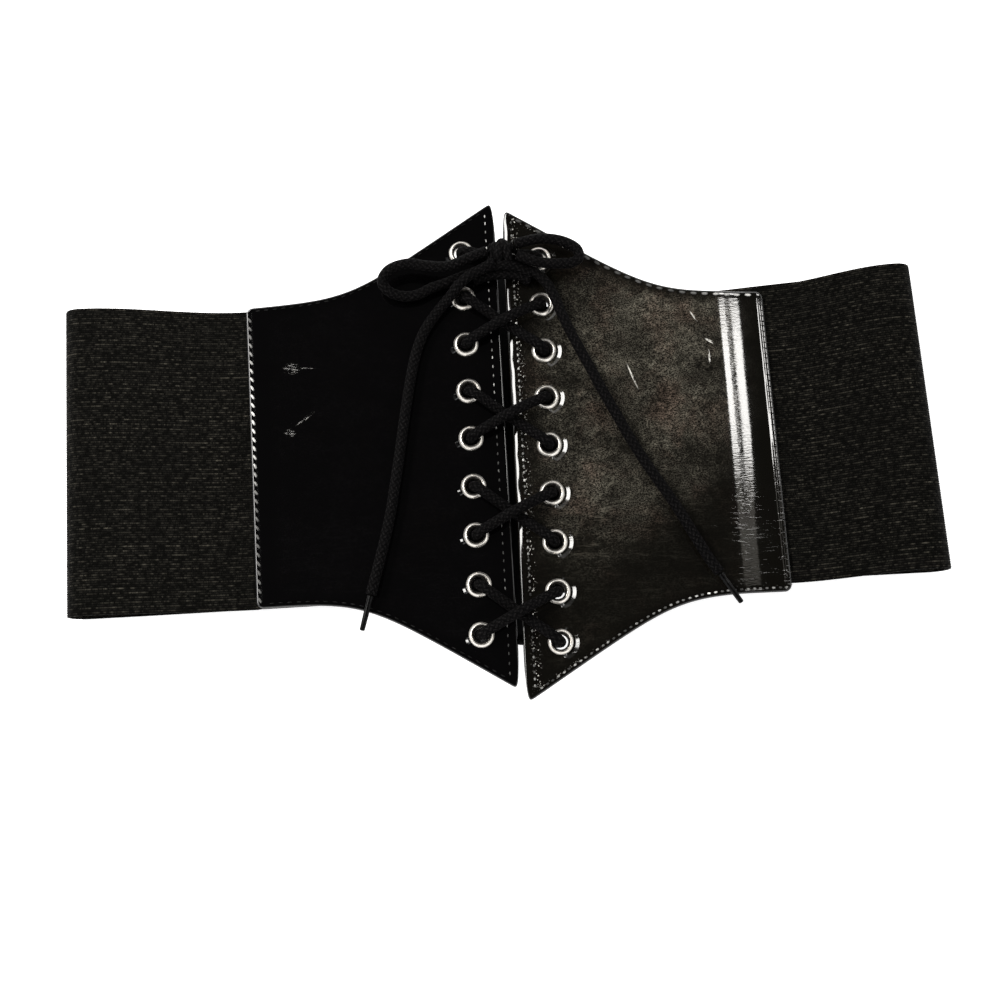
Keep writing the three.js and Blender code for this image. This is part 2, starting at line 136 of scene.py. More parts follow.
def hump(offset, width):
    return math.exp(-(offset / width) ** 2)


def underside(side, distance):
    share = min(max(distance / side["width"], 0.0), 1.0)
    power = leather["shoulderPower"]
    height = leather["frontHeight"] - leather["outerDrop"] * share ** power
    fall = leather["outerDrop"] * power * share ** (power - 1) / side["width"]
    return height, fall


def panelPoint(side, distance, height, level):
    share = distance / side["width"]
    base, fall = underside(side, distance)
    length = math.hypot(1, fall)
    lean = math.tan(math.radians(blend(side["frontLean"], side["outerLean"], share)))
    return Vector((
        side["frontX"] + side["sign"] * (distance + level * fall / length) - height * lean,
        blend(side["frontY"], side["outerY"], share) + height,
        base + level / length,
    ))


def outlineHalf(side, distance):
    reach = leather["slantReach"] * side["width"]
    softness = leather["slantSoftness"]
    slant = math.log(1 + math.exp((1 - distance / reach) / softness)) * softness
    half = blend(leather["outerHalf"], side["frontHalf"], slant)
    half -= leather["tipDrop"] * math.exp(-leather["tipFalloff"] * distance / leather["tipReach"])
    radius = leather["cornerRound"]
    inside = radius - min(max(side["width"] - distance, 0), radius)
    return half - radius + math.sqrt(radius ** 2 - inside ** 2)


def leatherTop(x):
    side = sides["left"] if x < (sides["left"]["frontX"] + sides["right"]["frontX"]) / 2 else sides["right"]
    return underside(side, (x - side["frontX"]) * side["sign"])[0] + leather["thickness"]


def eyeletPlace(side, row):
    return side["eyeletInset"], ((eyelets["rows"] - 1) / 2 - row) * eyelets["pitch"]


# Meshes, and what several pieces need

def inFrame(point):
    return (point + beltShift) * mm


def deselect():
    bpy.ops.object.select_all(action="DESELECT")


def meshPiece(name, points, faces, material):
    mesh = bpy.data.meshes.new(name)
    mesh.from_pydata([inFrame(p) for p in points], [], faces)
    mesh.materials.append(material)
    mesh.polygons.foreach_set("use_smooth", [True] * len(mesh.polygons))
    piece = bpy.data.objects.new(name, mesh)
    bpy.context.scene.collection.objects.link(piece)
    return piece


def uvLayer(piece, name, values):
    # one value for each corner of each face
    for corner, value in zip(piece.data.uv_layers.new(name=name).data, values):
        corner.uv = value


def alone(*pieces):
    deselect()
    for piece in pieces:
        piece.select_set(True)
    bpy.context.view_layer.objects.active = pieces[0]


def joined(pieces):
    alone(*pieces)
    bpy.ops.object.join()
    return bpy.context.object


def weld(piece):
    alone(piece)
    bpy.ops.object.mode_set(mode="EDIT")
    bpy.ops.mesh.select_all(action="SELECT")
    bpy.ops.mesh.remove_doubles(threshold=weldReach)
    bpy.ops.mesh.normals_make_consistent(inside=False)
    bpy.ops.object.mode_set(mode="OBJECT")


def cut(piece, cutter):
    alone(piece)
    hole = piece.modifiers.new("hole", "BOOLEAN")
    hole.object = cutter
    hole.solver = "EXACT"
    bpy.ops.object.modifier_apply(modifier=hole.name)
    bpy.data.objects.remove(cutter)


def bevel(piece, width, angle):
    alone(piece)
    rounding = piece.modifiers.new("rounding", "BEVEL")
    rounding.width = width
    rounding.segments = 3
    rounding.limit_method = "ANGLE"
    rounding.angle_limit = math.radians(angle)
    bpy.ops.object.modifier_apply(modifier=rounding.name)


def dress(piece, name, material, sharp=None):
    # edges that turn by more than sharp, in degrees, are shaded as edges
    alone(piece)
    piece.name = name
    piece.data.materials.clear()
    piece.data.materials.append(material)
    if sharp:
        bpy.ops.object.shade_smooth_by_angle(angle=math.radians(sharp))
    else:
        bpy.ops.object.shade_smooth()


def walledPiece(columns, rows, settle):
    # a grid for each face, welded along their edges; settle gives a point's place and its UVs
    faces = []
    for inner in (False, True):
        deselect()
        bpy.ops.mesh.primitive_grid_add(x_subdivisions=columns, y_subdivisions=rows, size=1, calc_uvs=False)
        face = bpy.context.object
        maps = {}
        for vertex in face.data.vertices:
            column, row = round((vertex.co.x + 0.5) * columns), round((vertex.co.y + 0.5) * rows)
            place, values = settle(column, row, inner)
            vertex.co = inFrame(place)
            for name, value in values.items():
                maps.setdefault(name, []).append(value)
        for name, values in maps.items():
            uvLayer(face, name, [values[loop.vertex_index] for loop in face.data.loops])
        faces.append(face)
    piece = joined(faces)
    weld(piece)
    return piece


def finish(piece, slot, *nodes):
    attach(piece, "root")
    if nodes:
        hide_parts(*nodes)
    return piece


# Lace: smooth routes, and tubes with a braid that runs along them

def smoothRoute(points):
    # a centripetal Catmull-Rom curve through the points
    ends = [points[0] * 2 - points[1]] + points + [points[-1] * 2 - points[-2]]
    route = []
    for i in range(len(points) - 1):
        four, times = ends[i:i + 4], [0.0]
        for a, b in zip(four, four[1:]):
            times.append(times[-1] + max((b - a).length, 1e-4) ** 0.5)
        count = max(3, math.ceil((four[2] - four[1]).length / lace["step"]))
        for j in range(count):
            t, row = blend(times[1], times[2], j / count), four
            for spans in (((0, 1), (1, 2), (2, 3)), ((0, 2), (1, 3)), ((1, 2),)):
                shares = [(t - times[m]) / (times[n] - times[m]) for m, n in spans]
                row = [a.lerp(b, share) for a, b, share in zip(row, row[1:], shares)]
            route.append(row[0])
    route.append(points[-1].copy())
    return route


def routeLength(route):
    return sum((b - a).length for a, b in zip(route, route[1:]))


def tube(route, widen=1.0, closed=False):
    # points, faces and the braid's coordinates at each face corner: mm along, share of the way round
    radius, around, rings = lace["diameter"] / 2 * widen, lace["around"], len(route)
    points, faces, corners, runs = [], [], [], [0.0]
    tangent = (route[1] - route[0]).normalized()
    across = tangent.orthogonal().normalized()
    for i, place in enumerate(route):
        before, after = (i - 1, (i + 1) % rings) if closed else (max(i - 1, 0), min(i + 1, rings - 1))
        ahead = (route[after] - route[before]).normalized()
        across = tangent.rotation_difference(ahead) @ across
        tangent = ahead
        side = tangent.cross(across).normalized()
        runs.append(runs[-1] + (route[after] - place).length)
        for k in range(around):
            angle = 2 * math.pi * k / around
            points.append(place + across * (math.cos(angle) * radius) + side * (math.sin(angle) * radius))
    for i in range(rings if closed else rings - 1):
        a, b = i * around, (i + 1) % rings * around
        for k in range(around):
            after = (k + 1) % around
            faces.append((a + k, a + after, b + after, b + k))
            near, far = k / around, (k + 1) / around
            corners += [(runs[i], near), (runs[i], far), (runs[i + 1], far), (runs[i + 1], near)]
    if not closed:
        faces += [tuple(range(around))[::-1], tuple(range(len(points) - around, len(points)))]
        corners += [(runs[0], 0.0)] * around + [(runs[rings - 1], 0.0)] * around
    return points, faces, corners


def lacePiece(name, tubes, node):
    points, faces, corners = [], [], []
    for tubePoints, tubeFaces, tubeCorners in tubes:
        first = len(points)
        points += tubePoints
        faces += [tuple(first + v for v in face) for face in tubeFaces]
        corners += tubeCorners
    piece = meshPiece(name, points, faces, cordBraid)
    uvLayer(piece, "braid", corners)
    return finish(piece, "lace_cord", node)


# Materials

class Shade:
    # a node socket that can be written in expressions
    def __init__(self, tree, socket=None):
        self.tree = tree
        self.socket = socket

    def node(self, kind, settings, inputs, output=0):
        made = self.tree.nodes.new(kind)
        for name, value in settings.items():
            setattr(made, name, value)
        for key, value in inputs.items():
            if isinstance(value, Shade):
                self.tree.links.new(value.socket, made.inputs[key])
            else:
                made.inputs[key].default_value = value
        return Shade(self.tree, made.outputs[output])

    def maths(self, operation, *values, clamp=False):
        settings = {"operation": operation, "use_clamp": clamp}
        return self.node("ShaderNodeMath", settings, dict(enumerate(values)))

    def __add__(self, other):
        return self.maths("ADD", self, other)

    __radd__ = __add__

    def __sub__(self, other):
        return self.maths("SUBTRACT", self, other)

    def __rsub__(self, other):
        return self.maths("SUBTRACT", other, self)

    def __mul__(self, other):
        return self.maths("MULTIPLY", self, other)

    __rmul__ = __mul__

    def __truediv__(self, other):
        return self.maths("DIVIDE", self, other)

    def absolute(self):
        return self.maths("ABSOLUTE", self)

    def root(self):
        return self.maths("SQRT", self)

    def sine(self):
        return self.maths("SINE", self)

    def fraction(self):
        return self.maths("FRACT", self)

    def whole(self):
        return self.maths("FLOOR", self)

    def between(self, low, high, bottom=0.0, top=1.0):
        inputs = {0: self, 1: low, 2: high, 3: bottom, 4: top}
        return self.node("ShaderNodeMapRange", {"interpolation_type": "SMOOTHSTEP"}, inputs)

    def bell(self, middle, width):
        offset = (self - middle) / width
        return self.maths("POWER", math.e, 0.0 - offset * offset)

    def axis(self, which):
        return self.node("ShaderNodeSeparateXYZ", {}, {0: self}, which)

    def scaled(self, factors):
        return self.node("ShaderNodeVectorMath", {"operation": "MULTIPLY"}, {0: self, 1: factors})

    def noise(self, scale, detail=3.0, roughness=0.5, distortion=0.0):
        inputs = {"Vector": self, "Scale": scale, "Detail": detail}
        inputs.update({"Roughness": roughness, "Distortion": distortion})
        return self.node("ShaderNodeTexNoise", {}, inputs)

    def paired(self, other):
        return self.node("ShaderNodeCombineXYZ", {}, {0: self, 1: other})

    def colours(self, low, high, factor):
        settings = {"data_type": "RGBA", "clamp_factor": True}
        return self.node("ShaderNodeMix", settings, {0: factor, 6: low, 7: high}, 2)


def newMaterial(name, fixed, surface=None):
    # surface gives what changes over it
    material = bpy.data.materials.new(name)
    material.use_nodes = True
    tree = material.node_tree
    shader = tree.nodes["Principled BSDF"]
    for socket, value in fixed.items():
        shader.inputs[socket].default_value = value
    if surface:
        for socket, value in surface(Shade(tree)).items():
            tree.links.new(value.socket, shader.inputs[socket])
    return material


def objectMillimetres(shade):
    return shade.node("ShaderNodeTexCoord", {}, {}, 3).scaled((1000, 1000, 1000))


def uvMap(shade, name):
    return shade.node("ShaderNodeUVMap", {"uv_map": name}, {})


def bump(shade, height):
    # height in millimetres
    return shade.node("ShaderNodeBump", {}, {"Strength": 1.0, "Distance": mm, "Height": height})


patentLook = {
    "roughness": 0.05,
    "grain": 0.0006,  # heights in mm
    # the last is the height of the bumps under the painted highlights beside the front stitching
    "crumple": 0.03, "scuff": 0.03, "puckerGlintRelief": 0.05,
    "pale": (0.7, 0.68, 0.62, 1),  # the scuffs' colour, and that of the painted highlights beside the right panel's front stitching
    "left": {
        "deep": (0.0008, 0.0007, 0.0008, 1), "dustAndReflection": (0.0022, 0.002, 0.0022, 1),
        "warm": (0.0022, 0.0017, 0.0017, 1), "uneven": 0.02, "crease": 0.0, "puckerGlint": 0.0, "wear": 0.25,
        "breaks": (0.52, 0.64), "wrinkle": (0.004, 0.0), "reflectionPatch": (-40.0, 10.0, 500.0, 500.0, 0.0),
        "dent": {"deep": 0.34, "from": 5.6, "to": 6.6, "towards": 200, "least": 0.975, "most": 0.99},
    },
    # on the right panel the lighter colours paint a reflection: a broad mottled grey sheen over the black
    # leather, warmer in places
    "right": {
        "deep": (0.0025, 0.0022, 0.0016, 1), "dustAndReflection": (0.15, 0.138, 0.108, 1),
        "warm": (0.15, 0.105, 0.08, 1), "uneven": 0.04, "crease": 0.012, "puckerGlint": 1.0, "wear": 1.0,
        "breaks": (0.42, 0.54),  # how broken the scuffs' strokes are
        "wrinkle": (0.004, 0.016),  # all over, and more of it over the elastic's end
        "reflectionPatch": (52.0, 20.0, 64.0, 80.0, 0.35),  # where the painted reflection is lightest, its reach and its lean
        # pressed in beside the eyelets: depth, from where to where, towards which side (degrees), how narrow
        "dent": {"deep": 0.54, "from": 5.8, "to": 7.2, "towards": -5, "least": 0.2, "most": 0.5},
    },
}
scuffs = {  # x and y in mm over the frame, half width, half height, and turn in degrees
    "left": [
        (-82.0, 36.2, 4.4, 2.8, -4), (-83.4, 9.4, 2.8, 2.0, 0), (-77.3, 14.8, 5.2, 0.9, 36),
        (-75.0, 36.0, 4.0, 0.5, 0),
    ],
    "right": [
        (55.1, 24.9, 6.5, 0.4, -70), (87.5, 38.3, 2.4, 0.6, -32), (86.8, 32.0, 3.4, 0.4, 90),
        (81.8, 49.0, 3.0, 0.4, -58),
    ],
}


def scuffMask(place, marks, breaks):
    # broken strokes that run along each mark
    mask = None
    for x, y, halfWidth, halfHeight, turn in marks:
        c, s = direction(turn)
        fromX, fromY = place.axis(0) - x, place.axis(1) - y
        along, over = fromX * c + fromY * s, fromY * c - fromX * s
        a, b = along / halfWidth, over / halfHeight
        strokes = (along * 0.3).paired(over * 1.5).noise(1.0, 4.0, 0.75, 0.6)
        spot = (a * a + b * b).between(1.0, 0.1) * strokes.between(*breaks)
        mask = spot if mask is None else mask + spot
    return mask


def dent(name, across, up):
    # how deep the leather is pressed in beside the nearest eyelet
    side, look = sides[name], patentLook[name]["dent"]
    x = (across - side["eyeletInset"]) * side["sign"]
    y = ((up / eyelets["pitch"] + 0.5).fraction() - 0.5) * eyelets["pitch"]
    away = (x * x + y * y).root()
    c, s = direction(look["towards"])
    facing = ((x * c + y * s) / away).between(look["least"], look["most"])
    slope = away.maths("MULTIPLY", look["to"] - away, 1 / (look["to"] - look["from"]), clamp=True)
    return slope * facing * look["deep"]


def patentLeather(shade, name):
    look = patentLook[name]
    place = objectMillimetres(shade)
    hem, lay = uvMap(shade, "hem"), uvMap(shade, "lay")
    row = hem.axis(0)  # how far from the edge, in distances of its stitching
    across, up = lay.axis(0), lay.axis(1)
    overEnd = across.bell(shoulder["centre"][1], 8.0)
    low = place.axis(1).between(-10.0, -40.0)  # the creased lower part
    grain = place.scaled((1.0, 1.3, 1.0)).noise(1.5, 4.0, 0.8)
    cloud = place.noise(0.05, 4.0, 0.6, 0.3)
    mottle = place.noise(0.35, 3.0, 0.6)
    crumple = place.scaled((1.0, 1.6, 1.0)).noise(0.055, 3.0, 0.55, 0.4)
    folds = place.scaled((0.13, 1.0, 1.0)).noise(0.9, 4.0, 0.6, 0.2)
    crease = folds.between(0.56, 0.66) * low
    wrinkles = place.scaled((0.35, 2.2, 1.0)).noise(1.0, 1.0, 0.5)
    patches = place.scaled((0.7, 1.0, 1.0)).noise(0.07, 6.0, 0.66)
    worn = scuffMask(place, scuffs[name], look["breaks"])
    # the patch where the painted reflection is lightest
    reflectionPatchX, reflectionPatchY, reachX, reachY, lean = look["reflectionPatch"]
    upward = place.axis(1) - reflectionPatchY
    fromX, fromY = (place.axis(0) - reflectionPatchX - upward * lean) / reachX, upward / reachY
    reflectionPatch = (fromX * fromX + fromY * fromY).between(1.0, 0.0, 0.06, 1.0)
    # painted highlights: light spots beside the right panel's front stitching, where the leather puckers
    puckerGlint = place.noise(1.2, 2.0, 0.6).between(0.62, 0.68) * row.bell(1.25, 0.3)
    puckerGlint = puckerGlint * across.between(40.0, 8.0) * look["puckerGlint"]
    height = grain * patentLook["grain"] + crumple * patentLook["crumple"] + crease * look["crease"]
    height = height + wrinkles * (look["wrinkle"][0] + overEnd * look["wrinkle"][1])
    height = height + worn * patentLook["scuff"] + puckerGlint * patentLook["puckerGlintRelief"] - dent(name, across, up)
    # the share of the lighter colours: on the right panel a painted reflection, mottled, lightest in its
    # patch, lighter along the creases, fading near the edges and past the step; on the left panel only a
    # faint uneven tone of the black
    dustAndReflection = grain.between(0.4, 0.68) * patches.between(0.3, 0.68, 0.2, 1.05)
    dustAndReflection = dustAndReflection * mottle.between(0.3, 0.7, 0.5, 1.3) * reflectionPatch
    dustAndReflection = (dustAndReflection + crease * 0.4 * reflectionPatch) * row.between(0.6, 4.5, 0.1, 1.0)
    dustAndReflection = dustAndReflection * across.between(90.0, 96.0, 1.0, 0.12)
    dustAndReflectionTint = shade.colours(look["dustAndReflection"], look["warm"], cloud.between(0.45, 0.7) * 0.8)
    tint = shade.colours(look["deep"], dustAndReflectionTint, dustAndReflection)
    uneven = patches.between(0.35, 0.75) * look["uneven"]
    return {
        # pale where the scuffs wear the lacquer, and for the painted highlights beside the stitching
        "Base Color": shade.colours(tint, patentLook["pale"], worn * look["wear"] + puckerGlint),
        "Roughness": patentLook["roughness"] + uneven + worn * 0.25,
        "Normal": bump(shade, height),
    }


def ribbedElastic(shade):
    lay = uvMap(shade, "lay")
    along, rib = lay.axis(0), lay.axis(1)  # mm along the band, ribs across it
    number = rib.whole()
    # lighter on each rib's crown and darker in its grooves: painted highlight and painted shade across the
    # ribs
    crown = ((rib.fraction() - 0.5) * 2.0).absolute().between(0.9, 0.15)
    dashes = (along * 0.4).paired(number * 7.3).noise(1.0, 4.0, 0.72)
    strength = (along * 0.02).paired(number * 3.7).noise(1.0, 2.0, 0.6)
    cloudy = lay.noise(0.05, 3.0, 0.6)
    everyOther = (number * 0.5).fraction().between(0.0, 0.5, 0.45, 1.3)
    # the lighter dashes of the weave, carrying the painted rib shading
    light = dashes.between(0.42, 0.8) * strength.between(0.3, 0.7, 0.4, 1.0)
    light = light * cloudy.between(0.3, 0.7, 0.6, 1.1) * crown * everyOther
    tint = shade.colours((0.0008, 0.0007, 0.0004, 1), (0.067, 0.061, 0.047, 1), light)
    return {
        "Base Color": tint,
        "Roughness": dashes.between(0.3, 0.7, 0.95, 0.7),
        "Normal": bump(shade, dashes * 0.15),
    }


def braidedCord(shade):
    weave = uvMap(shade, "braid")
    along, round_ = weave.axis(0) / 2.6, weave.axis(1) * 6.0
    first, second = along + round_, along - round_
    over = ((first.whole() + second.whole()) * 0.5).fraction() * 2.0
    firstHeight = (first.fraction() * math.pi).sine()
    secondHeight = (second.fraction() * math.pi).sine()
    strands = firstHeight * over + secondHeight * (1.0 - over)
    fibre = weave.scaled((1.0, 12.0, 1.0)).noise(2.6, 3.0, 0.7)
    # lighter on the strands' crests and darker between them: painted highlight and painted shade of the
    # braid
    light = strands.between(0.6, 1.0) * fibre.between(0.45, 0.68)
    tint = shade.colours((0.0004, 0.0003, 0.0004, 1), (0.02, 0.0185, 0.0185, 1), light)
    return {
        "Base Color": tint,
        "Roughness": fibre.between(0.2, 0.8, 0.62, 0.9),
        "Normal": bump(shade, strands * 0.22 + fibre * 0.05),
    }


# Metal, lacquer and plain leather: one noise wears colour and roughness, and it or a finer one the surface
plainLooks = {
    "nickelPlate": {
        "fixed": {"Metallic": 1.0}, "noise": (0.9, 4.0, 0.6), "fine": (2.5, 2.0, 0.5), "height": 0.02,
        "from": (0.68, 0.65, 0.6, 1), "to": (0.42, 0.37, 0.31, 1), "worn": (0.5, 0.8),
        "roughness": (0.3, 0.8, 0.26, 0.42),
    },
    "blackLacquer": {
        "fixed": {"Coat Weight": 0.08, "Coat Roughness": 0.1, "Specular IOR Level": 0.05},
        "noise": (1.2, 3.0, 0.6), "height": 0.02, "worn": (0.4, 0.8), "roughness": (0.3, 0.8, 0.25, 0.5),
    },
    "dullLeather": {
        "fixed": {"Specular IOR Level": 0.08},
        "noise": (1.6, 4.0, 0.6), "height": 0.05, "worn": (0.4, 0.7), "roughness": (0.3, 0.7, 0.6, 0.8),
    },
}
plainBlack = {"from": (0.001, 0.001, 0.001, 1), "to": (0.006, 0.006, 0.006, 1)}


def plainSurface(shade, look):
    place = objectMillimetres(shade)
    worn = place.noise(*look["noise"])
    fine = place.noise(*look["fine"]) if "fine" in look else worn
    return {
        "Base Color": shade.colours(look["from"], look["to"], worn.between(*look["worn"])),
        "Roughness": worn.between(*look["roughness"]),
        "Normal": bump(shade, fine * look["height"]),
    }


def waxedThread(shade):
    # black thread: the map's first value says how much light a stitch catches, its second how near an end is
    glint = uvMap(shade, "glint")
    twist = objectMillimetres(shade).noise(5.0, 2.0, 0.6)
    light = glint.axis(0) * glint.axis(1).between(1.0, 0.4) * twist.between(0.2, 0.42)
    return {
        "Base Color": shade.colours((0.003, 0.003, 0.003, 1), (0.85, 0.84, 0.8, 1), light),
        "Roughness": twist.between(0.3, 0.7, 0.3, 0.5),
        "Coat Weight": light.between(0.0, 0.5, 0.0, 0.8),
        "Normal": bump(shade, twist * 0.06),
    }


stitching = {
    "front": 3.8,  # rows' distances from the edges
    "slanted": 1.7, "outer": 1.9,
    "outerRow": {"left": 1.8, "right": 1.15},  # where the outer row's stitches lie
    "ends": {"front": 3.2, "inner": 1.5, "outer": 1.2},  # how far the rows stop short of the corners
    "steps": {"front": 300, "outer": 200, "slanted": 300},
    "proud": 0.2,  # how far a stitch stands out, as a share of its thickness
    "wobble": 7,  # degrees
    "favour": 1.6,  # more stitches catch little light than much
    # size in mm, slant in degrees, how much light the stitches catch (least, most), and how that changes
    # along the row: its brightest place, reach and least share, along the width for the top and bottom
    "columns": ("pitch", "size", "slant", "glint", "bright"),
    "left": {
        "front": (3.6, (0.55, 1.6), 0, (0.2, 0.8), (70, 70, 0.2)),
        "outer": (3.6, (1.0, 2.9), 28, (0.85, 1.0), (16, 26, 0.15)),
        "top": (3.6, (0.5, 2.1), 0, (0.0, 0.01), (0, 900, 1)),
        "bottom": (3.6, (0.5, 2.1), 0, (0.0, 0.01), (0, 900, 1)),
    },
    "right": {
        "front": (2.7, (0.9, 1.4), 0, (0.1, 1.0), (30, 70, 0.3)),
        "outer": (2.3, (0.4, 2.2), 75, (0.0, 0.1), (0, 900, 1)),
        "top": (4.6, (1.1, 3.1), 0, (0.6, 1.0), (104, 22, 0.12)),
        "bottom": (2.6, (0.8, 1.6), 0, (0.1, 1.0), (72, 14, 0.4)),
    },
}


def plainMaterial(name):
    look = {**plainBlack, **plainLooks[name]}
    return newMaterial(name, look["fixed"], lambda shade: plainSurface(shade, look))


def patentMaterial(name):
    fixed = {"IOR": 1.5, "Specular IOR Level": 0.5}
    return newMaterial("patentLeather." + name, fixed, lambda shade: patentLeather(shade, name))


patent = {name: patentMaterial(name) for name in sides}
elasticWeave = newMaterial("ribbedElastic", {"Specular IOR Level": 0.06}, ribbedElastic)
cordBraid = newMaterial("braidedCord", {"Specular IOR Level": 0.04}, braidedCord)
nickel = plainMaterial("nickelPlate")
lacquer = plainMaterial("blackLacquer")
dullBlack = plainMaterial("dullLeather")
thread = newMaterial("waxedThread", {"Coat Roughness": 0.15, "Specular IOR Level": 0.05}, waxedThread)
print("materials ready")

# The free lace: x, y, and its underside's height over the leather where it doesn't simply lie there

tailRoutes = {
    "left": [
        (-3.7, 72.5, 6.2), (-8.0, 70.0, 6.6), (-13.6, 67.3, 6.4), (-18.4, 64.0, 4.4), (-22.4, 59.8, 2.2),
        (-27.4, 54.6, 0.8), (-33.0, 46.8, 0.4), (-36.8, 37.4), (-39.0, 28.4), (-41.2, 17.2),
        (-43.2, 6.2), (-45.1, -5.2), (-47.0, -15.4), (-49.0, -26.0), (-51.6, -36.6),
        (-54.2, -45.8), (-56.2, -52.6), (-57.9, -58.4),
    ],
    "right": [
        (3.8, 72.0, 2.9), (8.2, 70.8, 1.9), (12.9, 68.8, 1.6), (17.0, 64.6, 1.7), (19.9, 58.8, 1.8),
        (22.4, 51.8, 1.3), (25.7, 43.6, 0.6), (31.3, 31.3), (37.0, 18.6), (42.8, 6.4),
        (48.0, -4.4), (53.2, -13.8), (58.6, -22.8), (64.2, -32.6), (69.6, -43.0),
        (74.0, -51.2), (77.6, -56.8),
    ],
}
loopRoutes = {
    "left": [
        (-5.6, 72.9, 1.9), (-11.6, 70.6, 1.4), (-16.8, 68.9, 1.2), (-22.3, 67.0, 1.0), (-29.6, 64.8, 0.8),
        (-35.0, 62.4, 0.8), (-40.8, 61.9, 1.2), (-46.4, 63.8, 2.4), (-49.0, 67.6, 3.6), (-46.4, 71.9, 4.6),
        (-38.6, 74.1, 5.4), (-30.6, 72.6, 5.7), (-22.4, 71.9, 5.8), (-14.2, 74.4, 6.4), (-6.2, 77.2, 6.6),
    ],
    "right": [
        (5.4, 79.8, 6.2), (10.2, 80.8, 6.0), (14.9, 81.7, 5.4), (20.5, 81.6, 4.8), (26.5, 79.8, 4.4),
        (30.4, 77.0, 3.9), (31.0, 73.6, 3.7), (28.2, 71.5, 4.0), (23.4, 71.0, 4.8), (15.6, 71.4, 5.8),
        (10.8, 72.8, 6.4), (6.0, 75.0, 6.3),
    ],
}
knot = {"width": 11.0, "height": 8.6, "rise": 1.2, "shift": (0.5, -1.2), "turnSteps": 28, "widen": 1.02}
aglets = {
    "radius": 1.2, "length": 14.0, "taper": 0.85, "drop": 0.9,
    "crimp": 0.2,  # how far along it is crimped, in shares of its length
    "crimpReach": 0.04, "crimpDepth": 0.16,
    "rings": (0.14, 0.2, 0.26),  # cuts that let it bend in there
}


def routePoints(route):
    points = []
    for x, y, *lift in route:
        height = lift[0] if lift else lace["lie"]
        points.append(Vector((x, y, leatherTop(x) + lace["diameter"] / 2 + height)))
    return points


def agletPiece(name, route):
    # a slim lacquered tip, waisted where it is crimped round the cord
    length, radius = aglets["length"], aglets["radius"]
    heading = (route[-1] - route[-2]).normalized()
    heading.z -= aglets["drop"] / length
    heading.normalize()
    deselect()
    bpy.ops.mesh.primitive_cylinder_add(vertices=20, radius=radius, depth=length, end_fill_type="NGON")
    piece = bpy.context.object
    bpy.ops.object.mode_set(mode="EDIT")
    for share in aglets["rings"]:
        bpy.ops.mesh.select_all(action="SELECT")
        bpy.ops.mesh.bisect(plane_co=(0, 0, (share - 0.5) * length), plane_no=(0, 0, 1))
    bpy.ops.object.mode_set(mode="OBJECT")
    for vertex in piece.data.vertices:
        along = vertex.co.z / length + 0.5
        width = 1 - aglets["crimpDepth"] * hump(along - aglets["crimp"], aglets["crimpReach"])
        width *= blend(1.0, aglets["taper"], along)
        vertex.co.x *= width
        vertex.co.y *= width
    bevel(piece, radius * 0.4, 50)
    centre = route[-1] + heading * (length / 2 + lace["gap"])
    lie = Matrix.Translation(inFrame(centre)) @ heading.to_track_quat("Z", "Y").to_matrix().to_4x4()
    piece.data.transform(lie @ Matrix.Scale(mm, 4))
    dress(piece, "agletTip." + name, lacquer, 40)
    return finish(piece, "aglet_lacquer", "aglet_" + name)


def laceStretch(name, node, points):
    route = smoothRoute(points)
    piece = lacePiece(name, [tube(route)], node)
    path = [tuple(inFrame(p)) for p in route]
    routeLength(route) * mm
    print(name, "is", round(routeLength(route), 1), "mm long")


for name in sides:
    tail = routePoints(tailRoutes[name])
    tip = agletPiece(name, tail)
    laceStretch("laceTail." + name, "lace_tail_" + name, tail)
    laceStretch("laceLoop." + name, "lace_loop_" + name, routePoints(loopRoutes[name]))
print("free lace laid")


# The laced stretch: from the knot down through every eyelet and back up, crossing in front

def frontLevel():
    return leather["thickness"] + eyelets["gap"] + eyelets["rise"] * lace["turnStart"] + lace["turn"]


def eyeletBase(side, row):
    return panelPoint(side, *eyeletPlace(side, row), 0)


def towards(place, other):
    # the level direction from one to the other
    away = other - place
    away.z = 0
    return away.normalized()


def throughEyelet(base, front, back):
    # a quarter turn down into the bore, and another out of it behind
    radius = lace["turn"]
    points = []
    for side, sign, above in ((front, 1, frontLevel() - radius), (back, -1, -eyelets["gap"])):
        for angle in (90, 45, 0)[::sign]:
            c, s = direction(angle)
            points.append(base + side * (radius * (1 - c)) + Vector((0, 0, above + sign * radius * s)))
    return points


def lacedPoints(middle):
    left, right = sides.values()
    down = [((left, left, right, right)[row % 4], row) for row in range(eyelets["rows"])]
    up = [(right if side is left else left, row) for side, row in reversed(down)]
    bases = [eyeletBase(*stop) for stop in down + up]
    reach = knot["width"] / 2 + lace["gap"]
    begin, end = (Vector((middle.x + s * reach, middle.y, bases[0].z + frontLevel())) for s in (-1, 1))
    resting = leather["thickness"] + lace["diameter"] / 2 + lace["gap"]
    start = lace["crossingStart"]
    points = [begin]
    for i, base in enumerate(bases):
        before, after = ([begin] + bases)[i], (bases + [end])[i + 1]
        if i % 2 == 0:
            points += throughEyelet(base, towards(base, before), towards(base, after))
            continue
        points += throughEyelet(base, towards(base, after), towards(base, before))[::-1]
        if i < len(bases) - 1:
            climbing = (after.x - base.x) * (after.y - base.y) > 0
            top = resting + lace["diameter"] + lace["gap"] if climbing else resting
            edge = blend(frontLevel(), top, lace["crossingClimb"])
            for share, height in ((start, edge), (0.5, top), (1 - start, edge)):
                points.append(base.lerp(after, share) + Vector((0, 0, height)))
    return points + [end]


firstRow = [eyeletBase(side, 0) for side in sides.values()]
knotMiddle = firstRow[0].lerp(firstRow[1], 0.5) + Vector((*knot["shift"], 0))
knotMiddle.z = leatherTop(knotMiddle.x) + knot["rise"] + knot["height"] / 2
lacedRoute = smoothRoute(lacedPoints(knotMiddle))
lacePiece("lacedStretch", [tube(lacedRoute)], "lace_crossed")
print("the laced stretch is", round(routeLength(lacedRoute)), "mm long")


# Knot: three turns of lace round four strands

